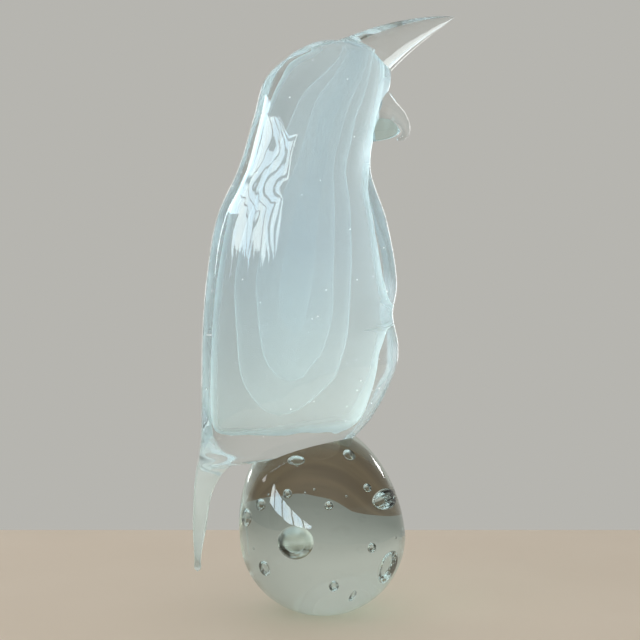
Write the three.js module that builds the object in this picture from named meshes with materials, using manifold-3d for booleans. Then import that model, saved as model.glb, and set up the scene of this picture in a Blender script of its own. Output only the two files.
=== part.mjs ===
// Glass cockatoo figurine: a layered opal bird cased in clear glass, on a clear ball with bubbles.
// Millimetres, +Z up, the bird faces +X, and the origin is the centre of the ball's flat foot.
// Every part of it was fused hot, so a seam between two parts is drawn as a hair-thin gap.
import * as THREE from 'three';
import { mergeVertices } from 'three/addons/utils/BufferGeometryUtils.js';
import Module from 'manifold-3d';

const wasm = await Module();
wasm.setup();

// Seam left between two masses of glass that are fused together on the real figurine
const SEAM = 0.3;

// Ball: a sagged half sphere below its widest line, drawn up into a leaning dome above it
const BALL_DIAMETER = 97;
const BALL_SAG = 0.957;
const FOOT_DIAMETER = 32;
const DOME_RISE = 67;
const DOME_LEAN = -5.9;
const BALL_CASING_WALL = 8;
const BUBBLE_COVER = 1;
const JOINT_RISE = 48.5;

// Body, from the joint on the ball upwards: each rise is counted from the section below it
const LOWER_BELLY_RISE = 13.4;
const BELLY_RISE = 32.6;
const FULL_BELLY_RISE = 17;
const WAIST_RISE = 18.8;
const BREAST_RISE = 19.5;
const SHOULDER_RISE = 34.5;
const NECK_RISE = 30.7;
const CHEEK_RISE = 27.5;
const BROW_RISE = 23.3;
const CROWN_RISE = 12.5;
const CROWN_ARCH = 10.7;

// Body: how far its back lies behind the ball's centre line
const LOWER_BELLY_BACK = 71.1;
const BELLY_BACK = 70.7;
const FULL_BELLY_BACK = 70.4;
const WAIST_BACK = 69.4;
const BREAST_BACK = 67.3;
const SHOULDER_BACK = 61.6;
const NECK_BACK = 48.7;
const CHEEK_BACK = 40.5;
const BROW_BACK = 33.6;
const CROWN_BACK = 21;
const CROWN_TOP_FORWARD = 5;

// Body: depth from back to front, and width from side to side
const LOWER_BELLY_DEPTH = 98.6;
const BELLY_DEPTH = 114;
const FULL_BELLY_DEPTH = 114.6;
const WAIST_DEPTH = 110.6;
const BREAST_DEPTH = 111;
const SHOULDER_DEPTH = 99.3;
const NECK_DEPTH = 76.6;
const CHEEK_DEPTH = 73;
const BROW_DEPTH = 73.4;
const CROWN_DEPTH = 58;
const LOWER_BELLY_WIDTH = 72;
const BELLY_WIDTH = 83;
const BREAST_WIDTH = 81;
const SHOULDER_WIDTH = 75;
const NECK_WIDTH = 68.5;
const HEAD_WIDTH = 64;
const BROW_WIDTH = 60;
const CROWN_WIDTH = 44;
const CROWN_ROUNDING = 0.56;

// Body: how much higher the front of a section stands than its back
const LOWER_BELLY_LIFT = 9.7;
const BELLY_LIFT = 8;
const WAIST_LIFT = -2.5;
const BREAST_LIFT = -6.5;
const SHOULDER_LIFT = -2.4;

// Underside, from the rump over the tail to the seat on the ball
const RUMP_DROP = 4.7;
const RUMP_BACK = 72.6;
const RUMP_DEPTH = 38.6;
const RUMP_WIDTH = 39;
const SEAT_RISE = 1.4;
const SEAT_BACK = 72;
const SEAT_DEPTH = 78;
const SEAT_WIDTH = 56;

// Tail, drawn out of the clear casing and ended in a small drop
const TAIL_LENGTH = 70.2;
const TAIL_BACK = 76.1;
const TAIL_ROOT_BACK = 73.9;
const TAIL_ROOT_DROP = 8.9;
const TAIL_ROOT_DEPTH = 19.3;
const TAIL_ROOT_WIDTH = 22;
const TAIL_MIDDLE_DEPTH = 7.8;
const TAIL_MIDDLE_WIDTH = 6.5;
const TAIL_TAPER = 2.5;
const TAIL_DROP_BACK = 75.2;
const TAIL_DROP_DIAMETER = 3.8;

// Clear casing over the opal glass. It is a lens that magnifies what lies inside, so it is thicker
// than it looks, and at the waist it makes the opal glass seem to touch the surface.
const CASING_BACK_WALL = 15;
const CASING_BREAST_WALL = 17;
const CASING_BELLY_WALL = 21;
const CASING_WAIST_WALL = 8;
const CASING_FACE_WALL = 10.3;
const CASING_SIDE_WALL = 10.4;

// Necks of the gathers, one inside the other, cracked off flush with the crown under the crest
const MOUTH_FORWARD = 17;
const MOUTH_DROP = 4;
const MOUTH_LEAN = 22;
const NECK_OVERRUN = 4;
const OUTER_NECK_STUB = 3;
const INNER_NECK_STUB = 13;
const OUTER_NECK_RADIUS = 9;
const SECOND_NECK_RADIUS = 6.6;
const THIRD_NECK_RADIUS = 4.4;
const HEART_NECK_RADIUS = 2.4;
const GATHER_FLATNESS = 0.78;

// Crest and beak, laid on hot
const CREST_ROOT_FORWARD = 6.4;
const CREST_ROOT_DROP = 3.6;
const CREST_LENGTH = 55;
const CREST_FOOT_DEPTH = 31;
const CREST_FOOT_WIDTH = 27;
const CREST_TIP_LIFT = 17.5;
const CREST_BOW = 4.5;
const CREST_FOOT_SLOPE = -42;
const CREST_TIP_SLOPE = -60;
const BEAK_REACH = 12.8;
const BEAK_DROP = 28;
const BEAK_WIDTH = 19;
const LOWER_BEAK_DROP = 14.8;
const LOWER_BEAK_REACH = 7.5;
const LOWER_BEAK_DEPTH = 11.4;
const LOWER_BEAK_WIDTH = 15;

// Facets
const BODY_SIDES = 28;
const GATHER_SIDES = 18;
const BALL_SIDES = 28;
const BIT_SIDES = 14;
const BUBBLE_FACET = 3.6;

// A closed geometry with shared vertices and no collapsed triangles
function closed(geometry) {
  geometry.deleteAttribute('normal');
  geometry.deleteAttribute('uv');
  const merged = mergeVertices(geometry, 1e-4);
  const index = Array.from(merged.index.array);
  const kept = [];
  for (let i = 0; i < index.length; i += 3) {
    const [a, b, c] = index.slice(i, i + 3);
    if (a !== b && b !== c && c !== a) {
      kept.push(a, b, c);
    }
  }
  merged.setIndex(kept);
  return merged;
}

// A section of a drawn form: where its back lies, its depth, its width and its front's lift
function section(back, z, depth, width, lift = 0) {
  const run = Math.sqrt(Math.max(depth * depth - lift * lift, 0));
  return {
    back: new THREE.Vector3(-back, width / 2, z - lift / 2),
    front: new THREE.Vector3(run - back, width / 2, z + lift / 2),
  };
}

// A section between two chosen edge points, for forms that are set out edge by edge
function chord(back, front, width) {
  return {
    back: new THREE.Vector3(back[0], width / 2, back[1]),
    front: new THREE.Vector3(front[0], width / 2, front[1]),
  };
}

// Smooth edges through a list of sections; y carries the half width along with each edge
function edges(sections) {
  const last = sections.length - 1;
  const back = new THREE.CatmullRomCurve3(sections.map((s) => s.back));
  const front = new THREE.CatmullRomCurve3(sections.map((s) => s.front));
  return {
    last,
    at(station) {
      const t = THREE.MathUtils.clamp(station / last, 0, 1);
      return { back: back.getPoint(t), front: front.getPoint(t) };
    },
  };
}

// Skin over the edges: an oval ring at each step, closed by a flat or pointed end
function loft(form, rings, sides, fullness = 0) {
  const positions = [];
  const index = [];
  for (let k = 0; k <= rings; k += 1) {
    const { back, front } = form.at((k / rings) * form.last);
    for (let i = 0; i < sides; i += 1) {
      const angle = (i / sides) * 2 * Math.PI;
      const along = (1 + Math.cos(angle)) / 2;
      const out = Math.max(back.y, 0) * Math.sin(angle) * (1 + fullness * Math.cos(angle));
      positions.push(
        THREE.MathUtils.lerp(back.x, front.x, along),
        out,
        THREE.MathUtils.lerp(back.z, front.z, along),
      );
    }
  }
  for (let k = 0; k < rings; k += 1) {
    for (let i = 0; i < sides; i += 1) {
      const a = k * sides + i;
      const b = k * sides + ((i + 1) % sides);
      index.push(a, b, b + sides, a, b + sides, a + sides);
    }
  }
  for (const [ring, turn] of [[0, -1], [rings, 1]]) {
    const { back, front } = form.at((ring / rings) * form.last);
    const centre = positions.length / 3;
    positions.push((back.x + front.x) / 2, 0, (back.z + front.z) / 2);
    for (let i = 0; i < sides; i += 1) {
      const a = ring * sides + i;
      const b = ring * sides + ((i + 1) % sides);
      index.push(...(turn > 0 ? [centre, a, b] : [centre, b, a]));
    }
  }
  const geometry = new THREE.BufferGeometry();
  geometry.setAttribute('position', new THREE.Float32BufferAttribute(positions, 3));
  geometry.setIndex(index);
  return closed(geometry);
}

// The same form with its skin moved outwards, for the hollow that another form fills
function swollen(geometry, by) {
  const copy = geometry.clone();
  copy.computeVertexNormals();
  const place = copy.attributes.position;
  const normal = copy.attributes.normal;
  for (let i = 0; i < place.count; i += 1) {
    place.setXYZ(
      i,
      place.getX(i) + by * normal.getX(i),
      place.getY(i) + by * normal.getY(i),
      place.getZ(i) + by * normal.getZ(i),
    );
  }
  copy.deleteAttribute('normal');
  return copy;
}

function solid(geometry) {
  return new wasm.Manifold(new wasm.Mesh({
    numProp: 3,
    vertProperties: Float32Array.from(geometry.attributes.position.array),
    triVerts: Uint32Array.from(geometry.index.array),
  }));
}

function toGeometry(manifold) {
  const mesh = manifold.getMesh();
  const geometry = new THREE.BufferGeometry();
  geometry.setAttribute('position', new THREE.BufferAttribute(mesh.vertProperties, 3));
  geometry.setIndex(new THREE.BufferAttribute(mesh.triVerts, 1));
  geometry.computeVertexNormals();
  return geometry;
}

const clearGlass = new THREE.MeshStandardMaterial({ color: 0xd5ded8, roughness: 0.04, metalness: 0 });
const opalGlass = new THREE.MeshStandardMaterial({ color: 0xbfd0d2, roughness: 0.08, metalness: 0 });
const greenGlass = new THREE.MeshStandardMaterial({ color: 0xa3c8bb, roughness: 0.05, metalness: 0 });

function part(name, manifold, material) {
  const mesh = new THREE.Mesh(toGeometry(manifold), material);
  mesh.name = name;
  return mesh;
}

const figurine = new THREE.Group();
const ball = new THREE.Group();
const bird = new THREE.Group();
figurine.add(ball, bird);

// The ball stands on a flat ground into the bottom of its sphere
const ballRadius = BALL_DIAMETER / 2;
const ballCentre = BALL_SAG * Math.sqrt(ballRadius ** 2 - (FOOT_DIAMETER / 2) ** 2);
ball.position.z = ballCentre;
bird.position.z = ballCentre + JOINT_RISE;

// Casing sections from the tail's drop to the crown, in the bird's frame with the joint at zero
const lowerBelly = LOWER_BELLY_RISE;
const belly = lowerBelly + BELLY_RISE;
const fullBelly = belly + FULL_BELLY_RISE;
const waist = fullBelly + WAIST_RISE;
const breast = waist + BREAST_RISE;
const shoulder = breast + SHOULDER_RISE;
const neck = shoulder + NECK_RISE;
const cheek = neck + CHEEK_RISE;
const brow = cheek + BROW_RISE;
const crown = brow + CROWN_RISE;

// The tail is drawn thinner and thinner from its root to its middle
function tailRow(share) {
  const drawn = 1 - (1 - share) ** TAIL_TAPER;
  return section(
    THREE.MathUtils.lerp(TAIL_ROOT_BACK, TAIL_BACK, drawn),
    THREE.MathUtils.lerp(-TAIL_ROOT_DROP, -0.64 * TAIL_LENGTH, share),
    THREE.MathUtils.lerp(TAIL_ROOT_DEPTH, TAIL_MIDDLE_DEPTH, drawn),
    THREE.MathUtils.lerp(TAIL_ROOT_WIDTH, TAIL_MIDDLE_WIDTH, drawn),
  );
}

// A round section of the drop at the tail's end, so many drop diameters above the tip
function dropRow(height, fullness) {
  const across = TAIL_DROP_DIAMETER * fullness;
  const back = TAIL_DROP_BACK - (TAIL_DROP_DIAMETER - across) / 2;
  return section(back, TAIL_DROP_DIAMETER * height - TAIL_LENGTH, across, across);
}

// The crown rounds off towards its top point, which lies a little further back
function archRow(share) {
  const narrowing = (1 - share) ** CROWN_ROUNDING;
  const depth = CROWN_DEPTH * narrowing;
  const middle = THREE.MathUtils.lerp(CROWN_DEPTH / 2 - CROWN_BACK, CROWN_TOP_FORWARD, share);
  return section(depth / 2 - middle, crown + CROWN_ARCH * share, depth, CROWN_WIDTH * narrowing);
}

const casingSections = {
  tailEnd: dropRow(0, 0),
  tailDrop: dropRow(0.5, 1),
  tailDropNeck: dropRow(1.87, 1),
  tailMiddle: tailRow(1),
  tailUpper: tailRow(0.38),
  tailRoot: tailRow(0),
  rump: section(RUMP_BACK, -RUMP_DROP, RUMP_DEPTH, RUMP_WIDTH),
  seat: section(SEAT_BACK, SEAT_RISE, SEAT_DEPTH, SEAT_WIDTH),
  lowerBelly: section(
    LOWER_BELLY_BACK,
    lowerBelly,
    LOWER_BELLY_DEPTH,
    LOWER_BELLY_WIDTH,
    LOWER_BELLY_LIFT,
  ),
  belly: section(BELLY_BACK, belly, BELLY_DEPTH, BELLY_WIDTH, BELLY_LIFT),
  fullBelly: section(FULL_BELLY_BACK, fullBelly, FULL_BELLY_DEPTH, BELLY_WIDTH),
  waist: section(WAIST_BACK, waist, WAIST_DEPTH, BELLY_WIDTH, WAIST_LIFT),
  breast: section(BREAST_BACK, breast, BREAST_DEPTH, BREAST_WIDTH, BREAST_LIFT),
  shoulder: section(SHOULDER_BACK, shoulder, SHOULDER_DEPTH, SHOULDER_WIDTH, SHOULDER_LIFT),
  neck: section(NECK_BACK, neck, NECK_DEPTH, NECK_WIDTH),
  cheek: section(CHEEK_BACK, cheek, CHEEK_DEPTH, HEAD_WIDTH),
  brow: section(BROW_BACK, brow, BROW_DEPTH, BROW_WIDTH),
  crown: archRow(0),
  crownShoulder: archRow(0.43),
  crownTop: archRow(0.87),
  crownEnd: archRow(1),
};
const casing = edges(Object.values(casingSections));
const at = Object.fromEntries(Object.keys(casingSections).map((name, i) => [name, i]));
const casingSkin = loft(casing, 2 * casing.last, BODY_SIDES);
const casingBlank = solid(casingSkin);
const casingSeat = solid(swollen(casingSkin, SEAM));

// A row of the outer gather: how much casing is left behind, before and beside it. Where the row
// slopes up towards the front, its front edge is measured so many stations further on.
function insideCasing(station, backWall, frontWall, sideWall, frontLead) {
  const { back } = casing.at(station);
  const { front } = casing.at(station + frontLead);
  const along = front.clone().sub(back).setY(0).normalize();
  return {
    back: back.clone().addScaledVector(along, backWall).setY(back.y - sideWall),
    front: front.clone().addScaledVector(along, -frontWall).setY(front.y - sideWall),
  };
}

// A row of an inner gather: the stretch that it takes up, as shares of the casing's depth there
function alongDepth(station, from, to) {
  const edge = casing.at(station);
  const back = edge.back.clone().setY(0);
  const front = edge.front.clone().setY(0);
  const halfWidth = GATHER_FLATNESS * back.distanceTo(front) * (to - from) / 2;
  return {
    back: back.clone().lerp(front, from).setY(halfWidth),
    front: back.clone().lerp(front, to).setY(halfWidth),
  };
}

// The neck of a gather, from inside the head up through the crown, where it is cracked off
const crownPoint = casingSections.crownEnd.front;
const mouth = new THREE.Vector3(crownPoint.x + MOUTH_FORWARD, 0, crownPoint.z - MOUTH_DROP);
const lean = THREE.MathUtils.degToRad(MOUTH_LEAN);
const neckAxis = new THREE.Vector3(Math.sin(lean), 0, Math.cos(lean));
const neckAcross = new THREE.Vector3(Math.cos(lean), 0, -Math.sin(lean));

function neckRows(radius, stub) {
  return [-stub, NECK_OVERRUN].map((reach) => {
    const middle = mouth.clone().addScaledVector(neckAxis, reach);
    return {
      back: middle.clone().addScaledVector(neckAcross, -radius).setY(radius),
      front: middle.clone().addScaledVector(neckAcross, radius).setY(radius),
    };
  });
}

// Outer opal gather: follows the casing, closest to its surface at the waist and the face.
// Its rows give the back and side walls as shares of the casing's own, and the front wall itself.
function outerRow(station, backShare, frontWall, sideShare = 1, frontLead = 0) {
  return insideCasing(
    station,
    backShare * CASING_BACK_WALL,
    frontWall,
    sideShare * CASING_SIDE_WALL,
    frontLead,
  );
}

const outerGather = edges([
  outerRow(at.lowerBelly - 0.05, 1.6, 1.14 * CASING_BELLY_WALL, 1.92, 0.4),
  outerRow(at.lowerBelly + 0.07, 1.1, 1.1 * CASING_BELLY_WALL, 1.25, 0.4),
  outerRow(at.lowerBelly + 0.3, 0.98, 1.05 * CASING_BELLY_WALL, 1.12, 0.24),
  outerRow(at.belly, 1, CASING_BELLY_WALL, 1.14),
  outerRow(at.fullBelly, 0.98, 0.85 * CASING_BELLY_WALL),
  outerRow(at.fullBelly + 0.4, 0.98, 0.68 * CASING_BELLY_WALL),
  outerRow(at.waist - 0.4, 0.99, CASING_WAIST_WALL),
  outerRow(at.waist + 0.3, 1.02, 1.1 * CASING_WAIST_WALL),
  outerRow(at.waist + 0.55, 1.01, 0.76 * CASING_BREAST_WALL),
  outerRow(at.breast, 1.01, CASING_BREAST_WALL),
  outerRow(at.shoulder, 1.07, CASING_BREAST_WALL, 1.12),
  outerRow(at.shoulder + 0.5, 1.1, 0.88 * CASING_BREAST_WALL, 1.15),
  outerRow(at.neck, 1.06, CASING_FACE_WALL, 1.13),
  outerRow(at.cheek, 0.96, CASING_FACE_WALL, 1.04),
  outerRow(at.brow, 1.19, 1.13 * CASING_FACE_WALL, 0.96),
  outerRow(at.crown - 0.3, 1.45, 0.9 * CASING_FACE_WALL, 0.81),
  ...neckRows(OUTER_NECK_RADIUS, OUTER_NECK_STUB),
]);

const secondGather = edges([
  alongDepth(at.lowerBelly + 0.39, 0.44, 0.44),
  alongDepth(at.lowerBelly + 0.47, 0.375, 0.525),
  alongDepth(at.lowerBelly + 0.64, 0.32, 0.59),
  alongDepth(at.belly, 0.26, 0.655),
  alongDepth(at.fullBelly, 0.237, 0.694),
  alongDepth(at.waist, 0.233, 0.722),
  alongDepth(at.breast, 0.216, 0.714),
  alongDepth(at.shoulder, 0.255, 0.733),
  alongDepth(at.neck, 0.316, 0.729),
  alongDepth(at.cheek, 0.362, 0.73),
  alongDepth(at.cheek + 0.5, 0.386, 0.74),
  ...neckRows(SECOND_NECK_RADIUS, INNER_NECK_STUB),
]);

const thirdGather = edges([
  alongDepth(at.belly - 0.08, 0.46, 0.46),
  alongDepth(at.belly - 0.01, 0.417, 0.514),
  alongDepth(at.belly + 0.21, 0.382, 0.54),
  alongDepth(at.belly + 0.62, 0.354, 0.585),
  alongDepth(at.fullBelly + 0.3, 0.337, 0.616),
  alongDepth(at.waist, 0.331, 0.643),
  alongDepth(at.breast, 0.303, 0.633),
  alongDepth(at.shoulder, 0.364, 0.654),
  alongDepth(at.neck, 0.458, 0.664),
  alongDepth(at.cheek, 0.468, 0.664),
  alongDepth(at.cheek + 0.5, 0.49, 0.678),
  ...neckRows(THIRD_NECK_RADIUS, INNER_NECK_STUB),
]);

const heartGather = edges([
  alongDepth(at.fullBelly + 0.28, 0.48, 0.48),
  alongDepth(at.fullBelly + 0.65, 0.44, 0.522),
  alongDepth(at.waist, 0.416, 0.536),
  alongDepth(at.breast, 0.406, 0.546),
  alongDepth(at.shoulder, 0.465, 0.574),
  alongDepth(at.neck, 0.528, 0.621),
  alongDepth(at.cheek, 0.53, 0.606),
  ...neckRows(HEART_NECK_RADIUS, INNER_NECK_STUB),
]);

// Each mass of glass is hollowed for the one inside it, and its neck ends flush with the crown
const gathers = [
  { name: 'opal_outer_gather', form: outerGather, rings: 26, sides: GATHER_SIDES },
  { name: 'opal_second_gather', form: secondGather, rings: 18, sides: GATHER_SIDES - 2 },
  { name: 'opal_third_gather', form: thirdGather, rings: 16, sides: GATHER_SIDES - 4 },
  { name: 'opal_heart', form: heartGather, rings: 14, sides: GATHER_SIDES - 6 },
];
for (const gather of gathers) {
  gather.skin = loft(gather.form, gather.rings, gather.sides);
  gather.hollow = solid(swollen(gather.skin, SEAM));
}
bird.add(part('clear_casing', casingBlank.subtract(gathers[0].hollow), clearGlass));
gathers.forEach((gather, i) => {
  const blank = solid(gather.skin).intersect(casingBlank);
  const inner = gathers[i + 1];
  bird.add(part(gather.name, inner ? blank.subtract(inner.hollow) : blank, opalGlass));
});

// Crest: a bit of clear glass laid over the mouth, pulled forwards and up to a thin point
const crestRoot = new THREE.Vector2(mouth.x + CREST_ROOT_FORWARD, mouth.z - CREST_ROOT_DROP);
const crestTip = new THREE.Vector2(mouth.x + CREST_LENGTH, mouth.z + CREST_TIP_LIFT);
const crestBow = crestRoot.clone().lerp(crestTip, 0.45).add(new THREE.Vector2(0, CREST_BOW));
const crestLine = new THREE.QuadraticBezierCurve(crestRoot, crestBow, crestTip);
const crestStart = crestLine.getTangent(0).multiplyScalar(crestRoot.distanceTo(crestTip));

function crestRow(share) {
  const middle = crestLine.getPoint(Math.max(share, 0));
  middle.addScaledVector(crestStart, Math.min(share, 0));
  const depth = CREST_FOOT_DEPTH * (1 - share) ** 0.85;
  const turned = THREE.MathUtils.lerp(CREST_FOOT_SLOPE, CREST_TIP_SLOPE, Math.max(share, 0));
  const slope = THREE.MathUtils.degToRad(turned);
  const reach = new THREE.Vector2(Math.cos(slope), Math.sin(slope)).multiplyScalar(depth / 2);
  return chord(
    middle.clone().sub(reach).toArray(),
    middle.clone().add(reach).toArray(),
    CREST_FOOT_WIDTH * (1 - share) ** 0.9,
  );
}

const crestRows = [-0.2, 0, 0.2, 0.4, 0.6, 0.78, 0.91, 1].map(crestRow);
const crest = solid(loft(edges(crestRows), 16, BIT_SIDES, 0.3)).subtract(casingSeat);
bird.add(part('crest', crest, clearGlass));

// Beak: a hooked upper bit and a small green lower one under it, both set on the face
const face = casing.at(at.cheek + 0.65).front;

function beakRow(top, bottom, width) {
  const place = ([x, z]) => [face.x + BEAK_REACH * x, face.z - BEAK_DROP * z];
  return chord(place(top), place(bottom), BEAK_WIDTH * width);
}

const upperBeakSkin = loft(edges([
  beakRow([-0.56, 0], [-0.64, 0.48], 1.05),
  beakRow([0.02, -0.02], [-0.16, 0.55], 1),
  beakRow([0.4, 0.19], [0.19, 0.57], 0.84),
  beakRow([0.77, 0.39], [0.45, 0.65], 0.66),
  beakRow([1, 0.64], [0.61, 0.75], 0.47),
  beakRow([0.98, 0.85], [0.66, 0.83], 0.32),
  beakRow([0.75, 0.97], [0.6, 0.88], 0.21),
  beakRow([0.49, 0.99], [0.48, 0.92], 0.13),
  beakRow([0.38, 0.96], [0.38, 0.96], 0),
]), 16, BIT_SIDES);
bird.add(part('upper_beak', solid(upperBeakSkin).subtract(casingSeat), clearGlass));

// The lower beak's rows hang from the underside of the hook
function lowerBeakRow(reach, top, bottom, width) {
  const x = face.x + LOWER_BEAK_REACH * reach;
  const z = face.z - LOWER_BEAK_DROP;
  return chord(
    [x, z - LOWER_BEAK_DEPTH * top],
    [x, z - LOWER_BEAK_DEPTH * bottom],
    LOWER_BEAK_WIDTH * width,
  );
}

const lowerBeakSkin = loft(edges([
  lowerBeakRow(-1.2, 0.1, 1.2, 1),
  lowerBeakRow(-0.55, 0, 1.13, 1),
  lowerBeakRow(0.1, 0.05, 1.03, 0.87),
  lowerBeakRow(0.6, 0.27, 0.9, 0.66),
  lowerBeakRow(0.87, 0.5, 0.78, 0.4),
  lowerBeakRow(1, 0.66, 0.66, 0),
]), 12, BIT_SIDES - 2);
const upperBeakSeat = solid(swollen(upperBeakSkin, SEAM));
const lowerBeak = solid(lowerBeakSkin).subtract(casingSeat).subtract(upperBeakSeat);
bird.add(part('lower_beak', lowerBeak, greenGlass));

// Ball sections: sagged below the widest line, drawn up and leaning back above it
function domeForm(radius, drop, rise, footRadius) {
  const start = Math.asin(footRadius / radius);
  return {
    last: 1,
    at(share) {
      const turn = THREE.MathUtils.lerp(start, Math.PI, share);
      const z = -Math.cos(turn) * (turn < Math.PI / 2 ? drop : rise);
      const across = 2 * radius * Math.sin(turn);
      const leaned = DOME_LEAN * Math.max(z, 0) / DOME_RISE;
      return section(across / 2 - leaned, z, across, across);
    },
  };
}

const ballDrop = BALL_SAG * ballRadius;
const ballSkin = loft(
  domeForm(ballRadius, ballDrop, DOME_RISE, FOOT_DIAMETER / 2),
  16,
  BALL_SIDES,
);
const prickedForm = domeForm(
  ballRadius - BALL_CASING_WALL,
  ballDrop - BALL_CASING_WALL,
  DOME_RISE - BALL_CASING_WALL,
  0,
);
const prickedSkin = loft(prickedForm, 12, BALL_SIDES - 6);

// Bubbles: air trapped in pricks on the inner gather when the outer one covered it. Azimuth and
// elevation are in degrees, width and depth in millimetres, and tall is the height over the width.
// All lie in the side that the photo shows, where the clear ball lets none at the back be seen.
const bubbles = [
  { azimuth: -112, elevation: 3, width: 19, depth: 21, tall: 0.93 },
  { azimuth: -24, elevation: 22, width: 25, depth: 13, tall: 0.46 },
  { azimuth: -28, elevation: -20, width: 15, depth: 13, tall: 1.2 },
  { azimuth: -163, elevation: 12, width: 10, depth: 9, tall: 1 },
  { azimuth: -143.5, elevation: 21, width: 6.5, depth: 7, tall: 1 },
  { azimuth: -117, elevation: 29, width: 5, depth: 6, tall: 1 },
  { azimuth: -82, elevation: 23, width: 4.8, depth: 6, tall: 1 },
  { azimuth: -51, elevation: -1, width: 5, depth: 6, tall: 1.05 },
  { azimuth: -80.5, elevation: -31, width: 5.4, depth: 7, tall: 1.2 },
  { azimuth: -141, elevation: -19, width: 7.6, depth: 8, tall: 1.1 },
  { azimuth: -113, elevation: 50, width: 9.7, depth: 5, tall: 0.62 },
  { azimuth: -45, elevation: 52.5, width: 7.2, depth: 6, tall: 1 },
  { azimuth: -42.5, elevation: 30.5, width: 5, depth: 5, tall: 1 },
  { azimuth: -59, elevation: -43, width: 3.4, depth: 4, tall: 2.4 },
  { azimuth: -22, elevation: -16, width: 5.5, depth: 5, tall: 0.9 },
];

// A bubble is centred on the pricked skin, or deeper where the casing glass would be too thin
function bubble({ azimuth, elevation, width, depth, tall }) {
  const sides = THREE.MathUtils.clamp(Math.round(Math.PI * width / BUBBLE_FACET), 7, 16);
  const geometry = closed(new THREE.SphereGeometry(0.5, sides, Math.round(sides * 0.65)));
  const turn = THREE.MathUtils.degToRad(azimuth);
  const lift = THREE.MathUtils.degToRad(elevation);
  const under = Math.max(BALL_CASING_WALL, depth / 2 + BUBBLE_COVER);
  const place = new THREE.Vector3(
    Math.cos(lift) * Math.cos(turn) * (ballRadius - under),
    Math.cos(lift) * Math.sin(turn) * (ballRadius - under),
    Math.sin(lift) * ((lift > 0 ? DOME_RISE : ballDrop) - under),
  );
  place.x += DOME_LEAN * Math.max(place.z, 0) / DOME_RISE;
  const aim = new THREE.Quaternion().setFromEuler(new THREE.Euler(0, -lift, turn, 'ZYX'));
  const size = new THREE.Vector3(depth, width, width * tall);
  return solid(geometry.applyMatrix4(new THREE.Matrix4().compose(place, aim, size)));
}

const air = bubbles.map(bubble).reduce((sum, one) => sum.add(one));
const birdSeat = solid(swollen(casingSkin, SEAM).translate(0, 0, JOINT_RISE));
const prickedGather = solid(prickedSkin).subtract(birdSeat).subtract(air);
const ballCasing = solid(ballSkin)
  .subtract(solid(swollen(prickedSkin, SEAM)))
  .subtract(birdSeat)
  .subtract(air);
ball.add(part('ball_pricked_gather', prickedGather, clearGlass));
ball.add(part('ball_outer_gather', ballCasing, clearGlass));

export default figurine;
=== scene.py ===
import math

import bmesh
import bpy
import numpy as np
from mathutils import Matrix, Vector


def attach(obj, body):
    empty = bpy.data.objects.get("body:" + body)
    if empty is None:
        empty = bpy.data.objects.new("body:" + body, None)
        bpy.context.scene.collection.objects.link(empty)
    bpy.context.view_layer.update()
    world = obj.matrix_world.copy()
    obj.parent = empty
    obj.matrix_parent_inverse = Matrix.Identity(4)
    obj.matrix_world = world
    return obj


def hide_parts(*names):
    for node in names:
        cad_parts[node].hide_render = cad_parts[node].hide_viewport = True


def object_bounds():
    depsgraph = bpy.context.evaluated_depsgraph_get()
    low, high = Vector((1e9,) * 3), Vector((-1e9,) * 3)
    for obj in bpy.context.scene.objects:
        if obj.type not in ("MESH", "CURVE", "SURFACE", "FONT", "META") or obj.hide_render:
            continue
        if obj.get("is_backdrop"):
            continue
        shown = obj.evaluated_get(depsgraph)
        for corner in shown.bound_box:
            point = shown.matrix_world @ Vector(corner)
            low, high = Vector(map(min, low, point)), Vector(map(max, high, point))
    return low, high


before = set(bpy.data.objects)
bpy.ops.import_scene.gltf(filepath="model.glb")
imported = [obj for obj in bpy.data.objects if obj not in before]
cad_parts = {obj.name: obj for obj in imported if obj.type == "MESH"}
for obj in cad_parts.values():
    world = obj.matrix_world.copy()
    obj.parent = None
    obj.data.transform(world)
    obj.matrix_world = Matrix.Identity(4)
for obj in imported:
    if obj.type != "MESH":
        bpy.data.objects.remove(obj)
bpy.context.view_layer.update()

scene = bpy.context.scene
scene.view_settings.view_transform = "Standard"
scene.cycles.max_bounces = 24
scene.cycles.transmission_bounces = 24
scene.cycles.glossy_bounces = 8
scene.cycles.transparent_max_bounces = 48
scene.cycles.caustics_reflective = False
scene.cycles.caustics_refractive = True


# ---- The room: a pale tabletop before a grey wall, with tall paned windows at the left and a
# camera at the height of the bird's breast. The wall is the world's colour, so it stands behind
# the figurine from every side.


class Val:
    """A shader socket that takes part in plain Python arithmetic."""

    def __init__(self, nodes, socket):
        self.nodes = nodes
        self.socket = socket

    def math(self, operation, *others):
        return self.nodes.make("ShaderNodeMath", {"operation": operation}, [self, *others])

    def __add__(self, other):
        return self.math("ADD", other)

    def __mul__(self, other):
        return self.math("MULTIPLY", other)

    def __sub__(self, other):
        return self.math("SUBTRACT", other)

    def __pow__(self, other):
        return self.math("POWER", other)

    def __rsub__(self, other):
        return self.nodes.make("ShaderNodeMath", {"operation": "SUBTRACT"}, [other, self])

    def __neg__(self):
        return self.math("MULTIPLY", -1)

    __radd__ = __add__
    __rmul__ = __mul__


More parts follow.
